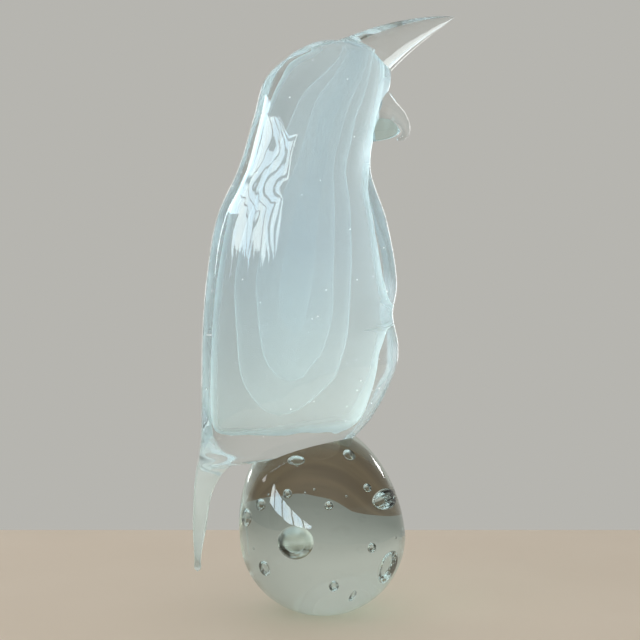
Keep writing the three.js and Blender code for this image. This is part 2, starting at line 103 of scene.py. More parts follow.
class Nodes:
    """A node tree that is written as calls: type, settings, then the sockets' values or links."""

    def __init__(self, tree):
        self.tree = tree
        tree.nodes.clear()

    def make(self, kind, settings=None, sockets=None, output=0):
        node = self.tree.nodes.new(kind)
        for name, value in (settings or {}).items():
            if name == "stops":
                ramp = node.color_ramp
                while len(ramp.elements) < len(value):
                    ramp.elements.new(0.5)
                for stop, (place, colour) in zip(ramp.elements, value):
                    stop.position = place
                    stop.color = (*colour, 1)
            else:
                setattr(node, name, value)
        sockets = sockets or {}
        pairs = sockets.items() if isinstance(sockets, dict) else enumerate(sockets)
        for key, value in pairs:
            if isinstance(value, Val):
                self.tree.links.new(value.socket, node.inputs[key])
            else:
                node.inputs[key].default_value = value
        return Val(self, node.outputs[output]) if node.outputs else None

    def mix(self, factor, a, b):
        """Colour a where the factor is 0, colour b where it is 1."""
        settings = {"data_type": "RGBA"}
        return self.make("ShaderNodeMix", settings, {0: factor, 6: a, 7: b}, output=2)


SMOOTH = {"interpolation_type": "SMOOTHSTEP"}
WALL = (0.468, 0.462, 0.432, 1)
WINDOW_LIGHT = (0.80, 0.83, 0.85, 1)
WALL_ROUND_WINDOW = (0.09, 0.10, 0.10, 1)
ROOM_SIDE = (0.19, 0.19, 0.18, 1)
FLOOR_LEVEL = (0.25, 0.235, 0.20, 1)
SOFT_LIGHT = (0.58, 0.58, 0.58, 1)

world = bpy.data.worlds.new("room")
world.use_nodes = True
scene.world = world
n = Nodes(world.node_tree)
heading = n.make("ShaderNodeTexCoord", output="Generated")
sideways, upward = (n.make("ShaderNodeSeparateXYZ", {}, [heading], output=axis) for axis in (0, 2))
toward_room = n.make("ShaderNodeMapRange", SMOOTH, [sideways, 0.35, 0.95])
toward_window = n.make("ShaderNodeMapRange", SMOOTH, [sideways, -0.35, -0.9])
downward = n.make("ShaderNodeMapRange", SMOOTH, [upward, -0.05, -0.35])
camera_sees, mirrored_ray, through = (
    n.make("ShaderNodeLightPath", output=f"Is {ray} Ray") for ray in ("Camera", "Glossy", "Transmission")
)
left_side = n.mix(through, WALL_ROUND_WINDOW, WINDOW_LIGHT)
walls = n.mix(toward_window, n.mix(toward_room, WALL, ROOM_SIDE), left_side)
in_glass = n.mix(downward, walls, FLOOR_LEVEL)
seen = n.mix(mirrored_ray.math("MAXIMUM", through), SOFT_LIGHT, in_glass)
room_light = n.make("ShaderNodeBackground", {}, [n.mix(camera_sees, seen, WALL), 1.0])
n.make("ShaderNodeOutputWorld", {}, [room_light])

TABLE_BACK = 242
TABLE_FRONT = -520
TABLE_HALF = 620
TABLE_THICKNESS = 30
TABLE_IN_GLASS = 176
WALL_HALF, WALL_TOP, WALL_BOTTOM, WALL_THICKNESS = 900, 900, -220, 4
PALE_BOARD = (0.76, 0.64, 0.50, 1), (0.82, 0.70, 0.56, 1)
BROWN_BOARD = (0.150, 0.097, 0.053, 1), (0.212, 0.141, 0.079, 1)
WALL_SHADED_AWAY_FROM_WINDOW = (0.385, 0.378, 0.350, 1)
WALL_IN_SHADE = (0.205, 0.212, 0.196, 1)


def slab(name, low, high):
    """A box of the room, from its lowest to its highest corner, in millimetres."""
    box = bmesh.new()
    bmesh.ops.create_cube(box, size=1)
    for corner in box.verts:
        corner.co = [(a if c < 0 else b) / 1000 for a, b, c in zip(low, high, corner.co)]
    mesh = bpy.data.meshes.new(name)
    box.to_mesh(mesh)
    box.free()
    thing = bpy.data.objects.new(name, mesh)
    scene.collection.objects.link(thing)
    thing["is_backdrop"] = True
    return thing


# Seen through the glass the boards are brown and end a short way behind the ball, and past them
# stands the foot of the wall, which nothing else shows: a glowing sheet with painted shade, dark
# below the table's level and darker away from the window.
tabletop = slab("tabletop", (-TABLE_HALF, TABLE_FRONT, -TABLE_THICKNESS), (TABLE_HALF, TABLE_BACK, 0))
wood = bpy.data.materials.new("pale_table")
wood.use_nodes = True
n = Nodes(wood.node_tree)
place = n.make("ShaderNodeTexCoord", output="Object")
mottled = n.make("ShaderNodeTexNoise", {}, {"Vector": place, "Scale": 9.0, "Detail": 4.0}, output=0)
along_grain = n.make("ShaderNodeVectorMath", {"operation": "MULTIPLY"}, [place, (9.0, 60.0, 9.0)])
grain = n.make("ShaderNodeTexNoise", {}, {"Vector": along_grain, "Scale": 1.0, "Detail": 2.0}, output=0)
grain = n.make("ShaderNodeMapRange", {}, [grain, 0.35, 0.65])
through = n.make("ShaderNodeLightPath", output="Is Transmission Ray")
tone = n.mix(through, n.mix(mottled, *PALE_BOARD), n.mix(grain, *BROWN_BOARD))
board = n.make("ShaderNodeBsdfPrincipled", {}, {"Base Color": tone, "Roughness": 0.55})
oval = n.make("ShaderNodeVectorMath", {"operation": "MULTIPLY"}, [place, (1.3, 1, 1)])
away = n.make("ShaderNodeVectorMath", {"operation": "LENGTH"}, [oval], output=1)
open_end = away.math("GREATER_THAN", TABLE_IN_GLASS / 1000) * through
gone = n.make("ShaderNodeBsdfTransparent", {}, [(1, 1, 1, 1)])
n.make("ShaderNodeOutputMaterial", {}, [n.make("ShaderNodeMixShader", {}, [open_end, board, gone])])
tabletop.data.materials.append(wood)

foot_of_wall = slab(
    "foot_of_wall", (-WALL_HALF, TABLE_BACK, WALL_BOTTOM), (WALL_HALF, TABLE_BACK + WALL_THICKNESS, WALL_TOP)
)
shade = bpy.data.materials.new("wall_in_glass")
shade.use_nodes = True
shade.cycles.emission_sampling = "NONE"
n = Nodes(shade.node_tree)
place = n.make("ShaderNodeTexCoord", output="Object")
right, height = (n.make("ShaderNodeSeparateXYZ", {}, [place], output=axis) for axis in (0, 2))
# Painted shade: darker below the table's level and away from the window at the left
lit = n.make("ShaderNodeMapRange", SMOOTH, [height, -0.035, 0.045])
away = n.make("ShaderNodeMapRange", SMOOTH, [right, -0.02, 0.13])
tone = n.mix(lit, WALL_IN_SHADE, n.mix(away, WALL, WALL_SHADED_AWAY_FROM_WINDOW))
n.make("ShaderNodeOutputMaterial", {}, [n.make("ShaderNodeEmission", {}, [tone, 1.0])])
foot_of_wall.data.materials.append(shade)
for ray in ("camera", "diffuse", "glossy", "volume_scatter", "shadow"):
    setattr(foot_of_wall, f"visible_{ray}", False)

# Windows at the left, each a curved wall of lamps in metres, which only its own pieces mirror.
# The bird's is cut to a leaf with wavy bars, the ball's to four sloping panes, and the crest's to
# brush strokes.
NEAR_BLUE, NEAR_WHITE = (0.66, 0.86, 1.0, 1), (0.90, 1.0, 1.0, 1)


def lamp_at(name, shape, spot, aim, size, watts, colour=(1, 1, 1)):
    """An area lamp that stands at its spot and shines towards its aim, both in metres."""
    glow = bpy.data.lights.new(name, "AREA")
    glow.shape = shape
    glow.size, glow.size_y = size
    glow.energy = watts
    glow.color = colour
    lamp = bpy.data.objects.new(name, glow)
    lamp.location = spot
    lamp.rotation_mode = "QUATERNION"
    lamp.rotation_quaternion = (Vector(aim) - lamp.location).to_track_quat("-Z", "Y")
    scene.collection.objects.link(lamp)
    return lamp


def mirrored(name, receivers, turn, low, high, wide, glow, away=1.0):
    """An upright lamp that only its receivers mirror, turned away from the camera by an angle."""
    turn = math.radians(turn)
    spot = Vector((-math.sin(turn) * away, -math.cos(turn) * away, (low + high) / 2))
    watts = glow * math.pi * wide * (high - low)
    lamp = lamp_at(name, "RECTANGLE", spot, (0, 0, spot.z), (wide, high - low), watts)
    lamp.visible_diffuse = False
    lamp.visible_transmission = False
    lamp.light_linking.receiver_collection = receivers
    lamp.data.use_nodes = True
    return lamp


def window(name, receivers, shape, turns, panels, low, high, glow, away=1.0):
    """A curved wall of lamps, cut to a shape in terms of the turn, the height and the place."""
    step = (turns[1] - turns[0]) / panels
    wide = 2 * math.tan(math.radians(abs(step) / 2)) * away
    for panel in range(panels):
        turn = turns[0] + step * (panel + 0.5)
        lamp = mirrored(f"{name}_{panel + 1}", receivers, turn, low, high, wide, glow, away)
        n = Nodes(lamp.data.node_tree)
        place = n.make("ShaderNodeNewGeometry", output="Position")
        x, y, z = (n.make("ShaderNodeSeparateXYZ", {}, [place], output=axis) for axis in range(3))
        tinge = n.make("ShaderNodeTexNoise", {}, {"Vector": place, "Scale": 3.0}, output=0)
        tinge = n.make("ShaderNodeMapRange", {}, [tinge, 0.4, 0.6])
        sky = n.mix(tinge, NEAR_BLUE, NEAR_WHITE)
        shown = shape(n, (-x).math("ARCTAN2", -y), z, place)
        n.make("ShaderNodeOutputLight", {}, [n.make("ShaderNodeEmission", {}, [sky, shown])])


def leaf(n, across, z, place):
    """Pointed like a leaf and ragged at the foot, with thin bars that follow its right edge."""
    inward = across - ((z - 0.60).math("MAXIMUM", 0.0) * 3.8 + 0.37)
    inside = n.make("ShaderNodeMapRange", SMOOTH, [inward, 0.0, 0.02])
    top = 0.803 - (across - 1.36).math("MAXIMUM", 0.0) * 0.09
    under_top = n.make("ShaderNodeMapRange", SMOOTH, [top - z, 0.0, 0.01])
    left_edge = n.make("ShaderNodeMapRange", SMOOTH, [z, 0.57, 0.6, 1.43, 2.03])
    before_end = n.make("ShaderNodeMapRange", SMOOTH, [left_edge - across, 0.0, 0.03])
    strip = n.make("ShaderNodeCombineXYZ", {}, [across * 14, z * 1.5, 0.0])
    strokes = n.make("ShaderNodeTexNoise", {}, {"Vector": strip, "Scale": 1.0, "Detail": 1.0}, output=0)
    over_foot = n.make("ShaderNodeMapRange", SMOOTH, [z - (strokes - 0.5) * 0.2, 0.40, 0.415])
    shown = inside * under_top * before_end * over_foot
    warp = n.make("ShaderNodeTexNoise", {}, {"Vector": place, "Scale": 4.0, "Detail": 1.0}, output=0)
    for bar in (0.05, 0.14, 0.29, 0.52, 0.80):
        off_bar = (inward - bar - (warp - 0.5) * bar).math("ABSOLUTE")
        shown = shown * n.make("ShaderNodeMapRange", SMOOTH, [off_bar, 0.008, 0.022])
    for slit, foot in ((1.955, 0.33), (1.41, 0.375)):
        in_slit = n.make("ShaderNodeMapRange", SMOOTH, [(across - slit).math("ABSOLUTE"), 0.035, 0.02])
        over_foot = n.make("ShaderNodeMapRange", SMOOTH, [z, foot, foot + 0.02])
        shown = shown.math("MAXIMUM", in_slit * over_foot * z.math("LESS_THAN", 0.6))
    return shown


def row_of_panes(n, across, z, place):
    """Four panes whose top and foot slope down towards the camera."""
    under_top = n.make("ShaderNodeMapRange", SMOOTH, [across * 0.36 + 0.064 - z, 0.0, 0.008])
    foot = (across - 0.75).math("MAXIMUM", 0.0) * 0.27 + 0.105
    over_foot = n.make("ShaderNodeMapRange", SMOOTH, [z - foot, 0.0, 0.008])
    wave = ((across - z * 0.25) * 4.1).math("FRACT")
    between_bars = n.make("ShaderNodeMapRange", SMOOTH, [(wave - 0.5).math("ABSOLUTE"), 0.05, 0.09])
    return under_top * over_foot * between_bars


def brushed(n, across, z, place):
    """Fine strokes that run along the crest and thin out towards the side of it."""
    strip = n.make("ShaderNodeCombineXYZ", {}, [across * 5, z * 9, 0.0])
    strokes = n.make("ShaderNodeTexNoise", {}, {"Vector": strip, "Scale": 1.0, "Detail": 2.0}, output=0)
    inner = n.make("ShaderNodeMapRange", SMOOTH, [across, -0.95, -1.3, -0.2, 0.12])
    return n.make("ShaderNodeMapRange", {}, [strokes + inner, 0.46, 0.53, 0.05, 1.0])


in_bird, in_ball, in_crest, in_beak, in_rim, figurine = (
    bpy.data.collections.new(name)
    for name in ("bird_mirrors", "ball_mirrors", "crest_mirrors", "beak_mirrors", "rim_mirrors", "figurine")
)
window("window", in_bird, leaf, turns=(20, 128), panels=8, low=0.34, high=0.83, glow=9)
window("low_window", in_ball, row_of_panes, turns=(14, 76), panels=4, low=0.09, high=0.56, glow=12)
window(
    "crest_window", in_crest, brushed, turns=(-134, -55), panels=3, low=0.005, high=0.22, glow=7, away=0.5
)
for name, receivers, turn, low, high, wide, glow in (
    ("ball_glint", in_ball, 145, 0.10, 0.20, 0.12, 6),
    ("ball_glint", in_ball, 100, 0.40, 0.52, 0.10, 6),
    ("ball_glint", in_ball, -145, 0.24, 0.36, 0.14, 6),
    ("beak_rim", in_beak, -138, 0.15, 1.1, 0.45, 2.6),
    ("beak_glint", in_beak, 8, 0.56, 0.74, 0.2, 7),
    ("rim_left", in_rim, 165, 0.06, 0.55, 0.09, 2.5),
    ("rim_right", in_rim, -162, 0.06, 0.45, 0.11, 3),
):
    mirrored(name, receivers, turn, low, high, wide, glow)

# Soft light that the opal soaks up: weak from the window and from behind, stronger from the
# right and warm from below. The last two light the figurine alone, so the table stays even.
for name, spot, aim, size, watts, colour, receivers in (
    ("window_soft", (-0.9, -0.55, 0.6), (0, 0, 0.25), 0.8, 2.0, (0.94, 0.98, 1), None),
    ("right_soft", (0.85, 0.5, 0.3), (0, 0, 0.2), 0.7, 15.0, (0.90, 0.99, 1), figurine),
    ("high_soft", (-0.1, 0.75, 1.0), (0, 0, 0.25), 0.7, 1.0, (1, 1, 1), None),
    ("low_soft", (0.24, -0.17, 0.02), (0, 0, 0.11), 0.16, 1.5, (1, 0.95, 0.90), figurine),
):
    lamp = lamp_at(name, "DISK", spot, aim, (size, size), watts, colour)
    lamp.visible_glossy = False
    lamp.visible_transmission = False
    lamp.light_linking.receiver_collection = receivers

CAMERA_AWAY = 700
CAMERA_HIGH = 181
LOOKS_AT = (-1.5, 0, 169.7)
FRAME_WIDE = 374.4

eye = bpy.data.cameras.new("camera")
eye.lens = eye.sensor_width * CAMERA_AWAY / FRAME_WIDE
camera = bpy.data.objects.new("camera", eye)
camera.location = Vector((LOOKS_AT[0], -CAMERA_AWAY, CAMERA_HIGH)) / 1000
camera.rotation_mode = "QUATERNION"
camera.rotation_quaternion = (Vector(LOOKS_AT) / 1000 - camera.location).to_track_quat("-Z", "Y")
scene.collection.objects.link(camera)
scene.camera = camera


# ---- Clear casing: the outermost gather of clear glass, shaped hot into the bird's back and
# breast, with its tail drawn out over the ball and ended in a small drop. It is fused to the ball
# that it sits on, and all heights of the bird are counted from their joint.

BALL_DIAMETER = 97
BALL_SAG = 0.957
FOOT_DIAMETER = 32
JOINT_RISE = 48.5
BALL_CENTRE = BALL_SAG * math.sqrt((BALL_DIAMETER / 2) ** 2 - (FOOT_DIAMETER / 2) ** 2)
BIRD_Z = BALL_CENTRE + JOINT_RISE

TAIL_LENGTH = 70.2
TAIL_TAPER = 2.5
TAIL_ROOT_BACK, TAIL_ROOT_DROP, TAIL_ROOT_DEPTH, TAIL_ROOT_WIDTH = 73.9, 8.9, 19.3, 22
TAIL_MIDDLE_BACK, TAIL_MIDDLE_SHARE, TAIL_MIDDLE_DEPTH, TAIL_MIDDLE_WIDTH = 76.1, 0.64, 7.8, 6.5
TAIL_DROP_DIAMETER, TAIL_DROP_BACK = 3.8, 75.2
LOWER_BELLY = 13.4
BELLY = LOWER_BELLY + 32.6
FULL_BELLY = BELLY + 17
WAIST = FULL_BELLY + 18.8
BREAST = WAIST + 19.5
SHOULDER = BREAST + 34.5
NECK = SHOULDER + 30.7
CHEEK = NECK + 27.5
BROW = CHEEK + 23.3
CROWN = BROW + 12.5
CROWN_ARCH, CROWN_ROUNDING = 10.7, 0.56
CROWN_BACK, CROWN_DEPTH, CROWN_WIDTH, CROWN_TOP_FORWARD = 21, 58, 44, 5


def section(back, z, depth, width, lift=0):
    """Two edge points of a drawn form, each (x, half width, z)."""
    run = math.sqrt(max(depth * depth - lift * lift, 0))
    return (-back, width / 2, z - lift / 2), (run - back, width / 2, z + lift / 2)


def tail_row(share):
    """A row of the tail, from its root at 0 to its middle at 1."""
    drawn = 1 - (1 - share) ** TAIL_TAPER
    return section(
        TAIL_ROOT_BACK + (TAIL_MIDDLE_BACK - TAIL_ROOT_BACK) * drawn,
        -TAIL_ROOT_DROP + (TAIL_ROOT_DROP - TAIL_MIDDLE_SHARE * TAIL_LENGTH) * share,
        TAIL_ROOT_DEPTH + (TAIL_MIDDLE_DEPTH - TAIL_ROOT_DEPTH) * drawn,
        TAIL_ROOT_WIDTH + (TAIL_MIDDLE_WIDTH - TAIL_ROOT_WIDTH) * drawn,
    )


def drop_row(height, fullness):
    """A row of the drop at the tail's end, its height counted in drops."""
    across = TAIL_DROP_DIAMETER * fullness
    back = TAIL_DROP_BACK - (TAIL_DROP_DIAMETER - across) / 2
    return section(back, TAIL_DROP_DIAMETER * height - TAIL_LENGTH, across, across)


def arch_row(share):
    """A row of the arch over the crown, from its foot at 0 to its top at 1."""
    narrowing = (1 - share) ** CROWN_ROUNDING
    depth = CROWN_DEPTH * narrowing
    middle = (CROWN_DEPTH / 2 - CROWN_BACK) * (1 - share) + CROWN_TOP_FORWARD * share
    return section(depth / 2 - middle, CROWN + CROWN_ARCH * share, depth, CROWN_WIDTH * narrowing)


class Edges:
    """Smooth back and front edges through the sections, as the solids have."""

    def __init__(self, sections):
        self.last = len(sections) - 1
        self.back = np.array([s[0] for s in sections], float)
        self.front = np.array([s[1] for s in sections], float)

    @staticmethod
    def along(points, t):
        last = len(points) - 1
        i = min(int(t), last - 1)
        w = t - i
        p1, p2 = points[i], points[i + 1]
        p0 = points[i - 1] if i > 0 else 2 * points[0] - points[1]
        p3 = points[i + 2] if i + 2 <= last else 2 * points[last] - points[last - 1]
        d0, d1, d2 = (math.sqrt(np.linalg.norm(b - a)) for a, b in ((p0, p1), (p1, p2), (p2, p3)))
        d1 = d1 if d1 >= 1e-4 else 1.0
        d0 = d0 if d0 >= 1e-4 else d1
        d2 = d2 if d2 >= 1e-4 else d1
        m1 = ((p1 - p0) / d0 - (p2 - p0) / (d0 + d1) + (p2 - p1) / d1) * d1
        m2 = ((p2 - p1) / d1 - (p3 - p1) / (d1 + d2) + (p3 - p2) / d2) * d1
        bend = 3 * (p2 - p1) - 2 * m1 - m2
        return p1 + w * m1 + w * w * bend + w ** 3 * (2 * (p1 - p2) + m1 + m2)

    def at(self, station):
        t = min(max(station, 0), self.last)
        return self.along(self.back, t), self.along(self.front, t)


def loft(form, rings, sides, fullness=0.0):
    """The skin over the edges as a closed mesh: corner list and face list, in millimetres."""
    turn = np.arange(sides) / sides * 2 * math.pi
    rows = []
    for k in range(rings + 1):
        back, front = form.at(k / rings * form.last)
        share = (1 + np.cos(turn))[:, None] / 2
        row = back + (front - back) * share
        row[:, 1] = max(back[1], 0) * np.sin(turn) * (1 + fullness * np.cos(turn))
        rows.append(row)
    corners = np.concatenate(rows + [rows[0].mean(0)[None], rows[-1].mean(0)[None]])
    faces = []
    for k in range(rings):
        for i in range(sides):
            a, b = k * sides + i, k * sides + (i + 1) % sides
            faces.append((a, b, b + sides, a + sides))
    ends = len(corners) - 2
    for i in range(sides):
        j = (i + 1) % sides
        faces.append((ends, j, i))
        faces.append((ends + 1, rings * sides + i, rings * sides + j))
    return corners, faces


def make_piece(name, corners, faces, rise, materials):
    """A mesh object in metres, its doubles merged, its faces smooth and outward."""
    mesh = bpy.data.meshes.new(name)
    mesh.from_pydata([(x / 1000, y / 1000, (z + rise) / 1000) for x, y, z in corners], [], faces)
    shape = bmesh.new()
    shape.from_mesh(mesh)
    bmesh.ops.remove_doubles(shape, verts=shape.verts, dist=1e-6)
    bmesh.ops.dissolve_degenerate(shape, edges=shape.edges, dist=1e-7)
    bmesh.ops.recalc_face_normals(shape, faces=shape.faces)
    for face in shape.faces:
        face.smooth = True
    shape.to_mesh(mesh)
    shape.free()
    for material in materials:
        mesh.materials.append(material)
    piece = bpy.data.objects.new(name, mesh)
    scene.collection.objects.link(piece)
    return piece


def glass(name, tint, rim_tint, waviness, blur=0.0, milk_at=None):
    """Hot-worked soda glass, with milk and painted light mixed in where milk_at says. Lamps shine through
    it, as through real glass.
    """
    material = bpy.data.materials.new(name)
    material.use_nodes = True
    n = Nodes(material.node_tree)
    place = n.make("ShaderNodeTexCoord", output="Object")
    drawn = n.make("ShaderNodeMapping", {}, {"Vector": place, "Scale": (1.0, 1.0, 0.4)})
    waves = n.make("ShaderNodeTexNoise", {}, {"Vector": drawn, "Scale": 44.0, "Detail": 1.0}, output=0)
    wavy = n.make("ShaderNodeBump", {}, {"Strength": waviness, "Distance": 0.002, "Height": waves})
    smears = n.make("ShaderNodeTexNoise", {}, {"Vector": place, "Scale": 16.0, "Detail": 5.0}, output=0)
    shine = n.make("ShaderNodeMapRange", {}, [smears, 0.5, 0.75, blur, blur + 0.03])
    rim = n.make("ShaderNodeLayerWeight", {}, {"Blend": 0.5}, output="Facing")
    solid = n.make("ShaderNodeBsdfPrincipled", {}, {
        "Base Color": n.mix(rim ** 4, (*tint, 1), (*rim_tint, 1)),
        "Roughness": shine,
        "IOR": 1.5,
        "Transmission Weight": 1.0,
        "Normal": wavy,
    })
    for amount, tone in milk_at(n, place) if milk_at else ():
        front, back = (n.make(f"ShaderNodeBsdf{side}", {}, [tone]) for side in ("Diffuse", "Translucent"))
        milk = n.make("ShaderNodeMixShader", {}, [0.5, front, back])
        solid = n.make("ShaderNodeMixShader", {}, [amount, solid, milk])
    open_to_light = n.make("ShaderNodeBsdfTransparent", {}, [(*tint, 1)])
    lamp_ray = n.make("ShaderNodeLightPath", output="Is Shadow Ray")
    whole = n.make("ShaderNodeMixShader", {}, [lamp_ray, solid, open_to_light])
    n.make("ShaderNodeOutputMaterial", {}, [whole])
    return material


def milky_places(n, place):
    """The tail went milky as it was drawn out in the flame. The face under the beak gets a pale milk, a
    painted glow.
    """
    x, z = (n.make("ShaderNodeSeparateXYZ", {}, [place], output=axis) for axis in (0, 2))
    behind = n.make("ShaderNodeMapRange", SMOOTH, [x, -0.046, -0.062])
    below = n.make("ShaderNodeMapRange", SMOOTH, [z, 0.104, 0.090])
    forward = n.make("ShaderNodeMapRange", SMOOTH, [x - z * 0.24, -0.0455, -0.0375, 0.0, 0.45])
    above_chin = n.make("ShaderNodeMapRange", SMOOTH, [z, 0.250, 0.268])
    below_brow = n.make("ShaderNodeMapRange", SMOOTH, [z, 0.322, 0.300])
    return (
        (behind * below * 0.25, (0.72, 0.76, 0.75, 1)),
        # Painted glow: pale milk at the face under the beak
        (forward * above_chin * below_brow, (0.78, 0.92, 0.98, 1)),
    )


# Where two masses of glass are fused, no surface is left between them
fused = bpy.data.materials.new("fused_seam")
fused.use_nodes = True
n = Nodes(fused.node_tree)
n.make("ShaderNodeOutputMaterial", {}, [n.make("ShaderNodeBsdfTransparent", {}, [(1, 1, 1, 1)])])

# The casing darkens where seen edge-on: partly the thicker glass, partly painted shade for the dark band
# along its sides
casing_glass = glass("casing_glass", (0.96, 0.985, 0.975), (0.64, 0.71, 0.70), 0.7, 0.0, milky_places)

casing_rows = {
    "tail_end": drop_row(0, 0),
    "tail_drop": drop_row(0.5, 1),
    "tail_drop_neck": drop_row(1.87, 1),
    "tail_middle": tail_row(1),
    "tail_upper": tail_row(0.38),
    "tail_root": tail_row(0),
    "rump": section(72.6, -4.7, 38.6, 39),
    "seat": section(72, 1.4, 78, 56),
    "lower_belly": section(71.1, LOWER_BELLY, 98.6, 72, 9.7),
    "belly": section(70.7, BELLY, 114, 83, 8),
    "full_belly": section(70.4, FULL_BELLY, 114.6, 83),
    "waist": section(69.4, WAIST, 110.6, 83, -2.5),
    "breast": section(67.3, BREAST, 111, 81, -6.5),
    "shoulder": section(61.6, SHOULDER, 99.3, 75, -2.4),
    "neck": section(48.7, NECK, 76.6, 68.5),
    "cheek": section(40.5, CHEEK, 73, 64.4),
    "brow": section(33.6, BROW, 73.4, 57),
    "crown": arch_row(0),
    "crown_shoulder": arch_row(0.43),
    "crown_top": arch_row(0.87),
    "crown_end": arch_row(1),
}
at = {name: i for i, name in enumerate(casing_rows)}
casing_form = Edges(list(casing_rows.values()))
casing = make_piece("clear_casing_glass", *loft(casing_form, 240, 96), BIRD_Z, [casing_glass, fused])
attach(casing, "root")
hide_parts("clear_casing")
for collection in (in_bird, in_rim, figurine):
    collection.objects.link(casing)


# ---- Opal gathers: four masses of milky glass, one inside the other, with thin clear layers
# between them. Each was gathered over the last, so their bellies show as nested loops, and
# their necks run together through the crown, where they were cracked off under the crest.

# Painted light from below: the opal's colour is lighter at the foot and darker at the breast and crown
OPAL_FOOT_PAINTED_LIGHT, OPAL_BELLY_PAINTED_LIGHT, OPAL_BREAST_PAINTED_SHADE, OPAL_CROWN_PAINTED_SHADE = (
    (0.76, 0.89, 0.87), (0.60, 0.72, 0.74), (0.46, 0.57, 0.63), (0.50, 0.585, 0.605),
)
OPAL_FACE_PAINTED_GLOW = (0.86, 0.97, 1.0)
SIDE_WALL = 10.4
GATHER_FLATNESS = 0.78


def opal(name, shade, edge_colour, clearest, milkiest, edge_from, cloud):
    """Milky glass that light soaks through: thin face on, dense where it is seen along its skin."""
    material = bpy.data.materials.new(name)
    material.use_nodes = True
    n = Nodes(material.node_tree)
    place = n.make("ShaderNodeTexCoord", output="Object")
    drift = n.make("ShaderNodeMapping", {}, {"Vector": place, "Scale": (1.0, 1.0, 0.35)})
    clouds = n.make("ShaderNodeTexNoise", {}, {"Vector": drift, "Scale": 34.0, "Detail": 3.0}, output=0)
    rim = n.make("ShaderNodeLayerWeight", {}, {"Blend": 0.5}, output="Facing")
    dense = n.make("ShaderNodeMapRange", SMOOTH, [rim, edge_from, 1.0, clearest, milkiest])
    milk = dense + (clouds - 0.5) * cloud

    forward, height = (n.make("ShaderNodeSeparateXYZ", {}, [place], output=axis) for axis in (0, 2))
    level = n.make("ShaderNodeMapRange", {}, [height, 0.10, 0.32])
    # Painted glow at the face under the beak: the colour and the light passed there are near white
    in_face = n.make("ShaderNodeMapRange", SMOOTH, [forward - height * 0.25, -0.052, -0.044])
    above_chin = n.make("ShaderNodeMapRange", SMOOTH, [height, 0.24, 0.262])
    below_brow = n.make("ShaderNodeMapRange", SMOOTH, [height, 0.305, 0.288])
    at_face = in_face * above_chin * below_brow
    # Painted light by height: light at the foot, darkest at the breast
    stops = (0.03, OPAL_FOOT_PAINTED_LIGHT), (0.20, OPAL_BELLY_PAINTED_LIGHT), (0.53, OPAL_BREAST_PAINTED_SHADE), (0.85, OPAL_CROWN_PAINTED_SHADE)
    body = n.make("ShaderNodeValToRGB", {"stops": stops}, [level])
    body = n.make("ShaderNodeVectorMath", {"operation": "SCALE"}, {"Vector": body, "Scale": shade})
    # Brighter, bluer at the edges: partly the denser milk seen along the skin, partly painted glow, and the
    # light passed at the edges is painted the same way
    colour = n.mix(rim ** 3, n.mix(at_face, body, (*OPAL_FACE_PAINTED_GLOW, 1)), (*edge_colour, 1))
    skin = n.make("ShaderNodeBsdfPrincipled", {}, {
        "Base Color": colour,
        "Roughness": 0.6,
        "Specular IOR Level": 0.0,
    })

    foot_glow, breast_glow, face_glow, edge_glow = (
        n.make("ShaderNodeBsdfTranslucent", {}, [(*tone, 1)])
        for tone in (
            [c * shade for c in OPAL_FOOT_PAINTED_LIGHT], [c * shade for c in OPAL_BREAST_PAINTED_SHADE], OPAL_FACE_PAINTED_GLOW, edge_colour,
        )
    )
    # The light the opal passes is painted by height the same way, lighter at the foot
    glow = n.make("ShaderNodeMixShader", {}, [(level * 2.0) ** 0.7, foot_glow, breast_glow])
    glow = n.make("ShaderNodeMixShader", {}, [at_face, glow, face_glow])
    glow = n.make("ShaderNodeMixShader", {}, [rim ** 3, glow, edge_glow])
    soaked = n.make("ShaderNodeMixShader", {}, [0.5, skin, glow])
    clear = n.make("ShaderNodeBsdfTransparent", {}, [(1, 1, 1, 1)])
    n.make("ShaderNodeOutputMaterial", {}, [n.make("ShaderNodeMixShader", {}, [milk, clear, soaked])])
    return material


MOUTH_FORWARD, MOUTH_DROP, MOUTH_LEAN = 17, 4, 22
NECK_UNDER_SKIN = 0.8
mouth = np.array([CROWN_TOP_FORWARD + MOUTH_FORWARD, 0, CROWN + CROWN_ARCH - MOUTH_DROP])
lean = math.radians(MOUTH_LEAN)
neck_axis = np.array([math.sin(lean), 0, math.cos(lean)])
neck_across = np.array([math.cos(lean), 0, -math.sin(lean)])


def neck_rows(radius, stub):
    """The two rows of a gather's round neck, which ends in the mouth at the crown."""
    rows = []
    for reach in (-stub, -NECK_UNDER_SKIN):
        middle = mouth + neck_axis * reach
        row = [middle - neck_across * radius, middle + neck_across * radius]
        for edge in row:
            edge[1] = radius
        rows.append(row)
    return rows


def outer_row(station, back_wall, front_wall, side_wall=SIDE_WALL, front_lead=0.0):
    """An outer gather's row: how much casing is left behind, before and beside it."""
    back, front = casing_form.at(station)[0], casing_form.at(station + front_lead)[1]
    along = (front - back) * (1, 0, 1)
    along /= np.linalg.norm(along)
    first, last = back + along * back_wall, front - along * front_wall
    first[1] -= side_wall
    last[1] -= side_wall
    return first, last


def inner_row(station, start, end):
    """An inner gather's row: the stretch that it takes up of the casing's depth there."""
    back, front = (edge * (1, 0, 1) for edge in casing_form.at(station))
    first, last = back + (front - back) * start, back + (front - back) * end
    first[1] = last[1] = GATHER_FLATNESS * np.linalg.norm(front - back) * (end - start) / 2
    return first, last


